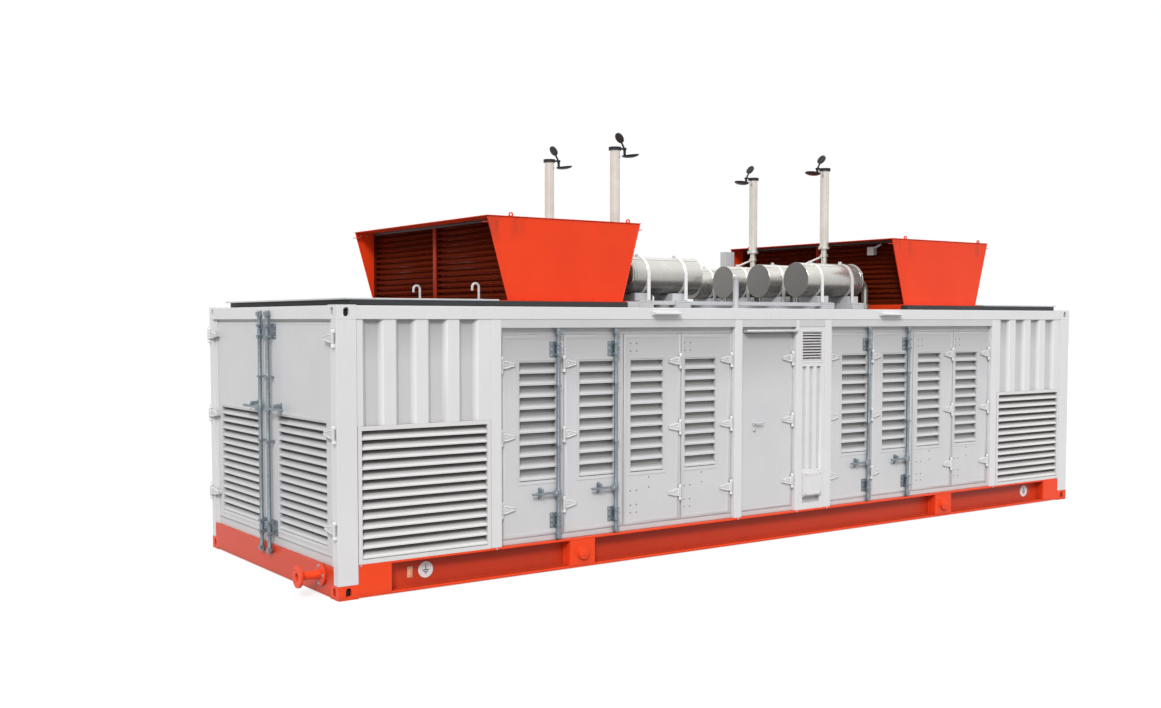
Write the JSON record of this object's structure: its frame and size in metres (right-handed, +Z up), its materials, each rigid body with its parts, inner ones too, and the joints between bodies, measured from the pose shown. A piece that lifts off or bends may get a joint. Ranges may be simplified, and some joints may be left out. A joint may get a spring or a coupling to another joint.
{
  "type": "gas generator set",
  "caption": "Gas generator set in a long steel container with louvred doors, two red roof air hoods, exhaust silencers and stacks.",
  "frame": {"origin": "on the floor under the middle of the container, between the feet of its four corner castings", "axes": "+X along the container away from the gas inlet end, +Y across it from the door side to the rear, +Z up"},
  "size_m": [10.275, 3.1206, 4.194],
  "materials": {
    "shell_paint": "satin white paint",
    "base_paint": "satin orange red paint",
    "floor_steel": "dark grey floor paint",
    "roof_dark": "dark grey sealed edge",
    "roof_grey": "light grey paint",
    "zinc": "galvanised",
    "hood_paint": "satin orange red paint",
    "hood_inner": "orange red paint, shaded",
    "stainless": "polished stainless sheet",
    "black_iron": "matt black paint"
  },
  "bodies": {
    "shell": {"base_beams": "base_paint", "cross_members": "base_paint", "floor_plate": "floor_steel", "lifting_blocks": "base_paint", "bottom_castings": "base_paint", "top_castings": "shell_paint", "corner_posts": "shell_paint", "top_rails": "shell_paint", "roof_panel": "shell_paint", "roof_edge_strips": "roof_dark", "roof_cover_plates": "roof_grey", "side_posts": "shell_paint", "side_headers": "shell_paint", "door_mullions": "shell_paint", "corrugated_panels": "shell_paint", "side_louvres": "shell_paint", "rail_steps": "shell_paint", "middle_column": "shell_paint", "vent_grille": "shell_paint", "cable_box": "shell_paint", "hinge_lugs": "shell_paint", "rear_hinge_lugs": "shell_paint", "rear_doors": "shell_paint", "rear_rods": "zinc", "rear_middle_panel": "shell_paint", "right_end_doors": "shell_paint", "right_end_rods": "zinc", "roof_hoods": "hood_paint", "hood_louvres": "hood_inner", "silencers": "stainless", "silencer_straps": "stainless", "silencer_feet": "roof_grey", "exhaust_stacks": "stainless", "rain_caps": "black_iron", "roof_vents": "stainless", "gas_inlet": "base_paint"},
    "bay_door_a1": {"door_a1": "shell_paint", "lock_rod_a1": "zinc"},
    "bay_door_a2": {"door_a2": "shell_paint", "lock_rod_a2": "zinc"},
    "bay_door_a3": {"door_a3": "shell_paint"},
    "bay_door_a4": {"door_a4": "shell_paint"},
    "bay_door_b1": {"door_b1": "shell_paint", "lock_rod_b1": "zinc"},
    "bay_door_b2": {"door_b2": "shell_paint", "lock_rod_b2": "zinc"},
    "bay_door_b3": {"door_b3": "shell_paint"},
    "bay_door_b4": {"door_b4": "shell_paint"},
    "entry_door": {"personnel_door": "shell_paint"},
    "end_leaf_near": {"end_door_near": "shell_paint", "end_rod_near": "zinc"},
    "end_leaf_far": {"end_door_far": "shell_paint", "end_rod_far": "zinc"}
  },
  "joints": [
    {"name": "bay_door_a1_hinge", "type": "hinge", "parent": "shell", "child": "bay_door_a1", "pos_m": [-3.424, -1.466, 0.28], "axis": [0, 0, -1], "range_deg": [0, 85]},
    {"name": "bay_door_a2_hinge", "type": "hinge", "parent": "shell", "child": "bay_door_a2", "pos_m": [-2.756, -1.466, 0.28], "axis": [0, 0, -1], "range_deg": [0, 85]},
    {"name": "bay_door_a3_hinge", "type": "hinge", "parent": "shell", "child": "bay_door_a3", "pos_m": [-1.382, -1.466, 0.28], "axis": [0, 0, 1], "range_deg": [0, 85]},
    {"name": "bay_door_a4_hinge", "type": "hinge", "parent": "shell", "child": "bay_door_a4", "pos_m": [-0.714, -1.466, 0.28], "axis": [0, 0, 1], "range_deg": [0, 85]},
    {"name": "bay_door_b1_hinge", "type": "hinge", "parent": "shell", "child": "bay_door_b1", "pos_m": [0.714, -1.466, 0.28], "axis": [0, 0, -1], "range_deg": [0, 85]},
    {"name": "bay_door_b2_hinge", "type": "hinge", "parent": "shell", "child": "bay_door_b2", "pos_m": [1.382, -1.466, 0.28], "axis": [0, 0, -1], "range_deg": [0, 85]},
    {"name": "bay_door_b3_hinge", "type": "hinge", "parent": "shell", "child": "bay_door_b3", "pos_m": [2.756, -1.466, 0.28], "axis": [0, 0, 1], "range_deg": [0, 85]},
    {"name": "bay_door_b4_hinge", "type": "hinge", "parent": "shell", "child": "bay_door_b4", "pos_m": [3.424, -1.466, 0.28], "axis": [0, 0, 1], "range_deg": [0, 85]},
    {"name": "entry_door_hinge", "type": "hinge", "parent": "shell", "child": "entry_door", "pos_m": [0.147, -1.466, 0.28], "axis": [0, 0, 1], "range_deg": [0, 100]},
    {"name": "end_leaf_near_hinge", "type": "hinge", "parent": "shell", "child": "end_leaf_near", "pos_m": [-5.02, -1.47, 0.28], "axis": [0, 0, 1], "range_deg": [0, 105]},
    {"name": "end_leaf_far_hinge", "type": "hinge", "parent": "shell", "child": "end_leaf_far", "pos_m": [-5.02, 1.47, 0.28], "axis": [0, 0, -1], "range_deg": [0, 105]}
  ]
}
